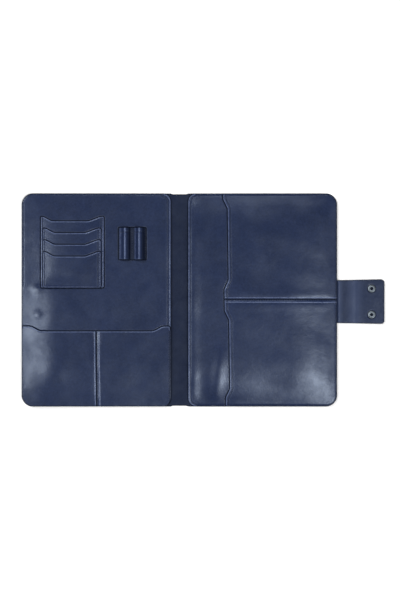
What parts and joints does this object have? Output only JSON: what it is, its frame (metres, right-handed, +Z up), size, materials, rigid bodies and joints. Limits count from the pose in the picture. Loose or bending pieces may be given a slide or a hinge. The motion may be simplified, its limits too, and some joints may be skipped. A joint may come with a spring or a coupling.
{
  "type": "tablet folio case",
  "caption": "Leather tablet folio, open flat: tablet sleeve and divided pocket on one side, card, pen and document pockets on the other, with a two-snap strap.",
  "frame": {"origin": "middle of the spine's underside, on the table the open folio lies on", "axes": "+Z up, out of the inner side; +X from the spine across the back cover to the strap; +Y along the spine, away from the divided lower pocket"},
  "size_m": [0.5528, 0.325, 0.0157],
  "materials": {
    "outer_leather": "waxed",
    "pocket_leather": "waxed",
    "lining_leather": "satin",
    "strap_leather": "waxed",
    "thread": "waxed",
    "snap_metal": "darkened",
    "spring_wire": "bright"
  },
  "bodies": {
    "back_cover": {"outer_leather_back": "outer_leather", "lining_back": "lining_leather", "sleeve_panel": "pocket_leather", "sleeve_panel_border": "pocket_leather", "twin_pocket_leaf": "pocket_leather", "twin_pocket_leaf_border": "pocket_leather", "thread_back_edge": "thread", "thread_twin_divider": "thread", "strap_tongue": "strap_leather"},
    "spine": {"outer_leather_spine": "outer_leather", "lining_spine": "lining_leather", "thread_spine_top": "thread", "thread_spine_bottom": "thread"},
    "front_cover": {"outer_leather_front": "outer_leather", "lining_front": "lining_leather", "document_panel": "pocket_leather", "document_panel_border": "pocket_leather", "lower_pocket_leaf": "pocket_leather", "lower_pocket_leaf_border": "pocket_leather", "card_leaf_1": "pocket_leather", "card_leaf_2": "pocket_leather", "card_leaf_3": "pocket_leather", "card_leaf_4": "pocket_leather", "pen_loops": "pocket_leather", "snap_studs": "snap_metal", "stud_rivets": "snap_metal", "thread_front_edge": "thread", "thread_lower_pocket": "thread", "thread_card_block": "thread", "thread_pen_loops": "thread"},
    "strap_side": {"strap_outer_side": "strap_leather", "strap_lining_side": "strap_leather", "thread_strap_side": "thread"},
    "strap_end": {"strap_outer_end": "strap_leather", "strap_lining_end": "strap_leather", "thread_strap_end": "thread", "snap_sockets": "snap_metal", "snap_springs": "spring_wire", "snap_caps": "snap_metal"}
  },
  "joints": [
    {"name": "back_crease", "type": "hinge", "parent": "back_cover", "child": "spine", "pos_m": [0.0118, 0, 0.0023], "axis": [0, 1, 0], "range_deg": [-12, 90]},
    {"name": "front_crease", "type": "hinge", "parent": "spine", "child": "front_cover", "pos_m": [-0.0118, 0, 0.0023], "axis": [0, 1, 0], "range_deg": [-12, 89.24]},
    {"name": "strap_root_crease", "type": "hinge", "parent": "back_cover", "child": "strap_side", "pos_m": [0.2409, 0, 0.0038], "axis": [0, -1, 0], "range_deg": [-12, 90]},
    {"name": "strap_tip_crease", "type": "hinge", "parent": "strap_side", "child": "strap_end", "pos_m": [0.2682, 0, 0.0038], "axis": [0, -1, 0], "range_deg": [-12, 90]}
  ]
}
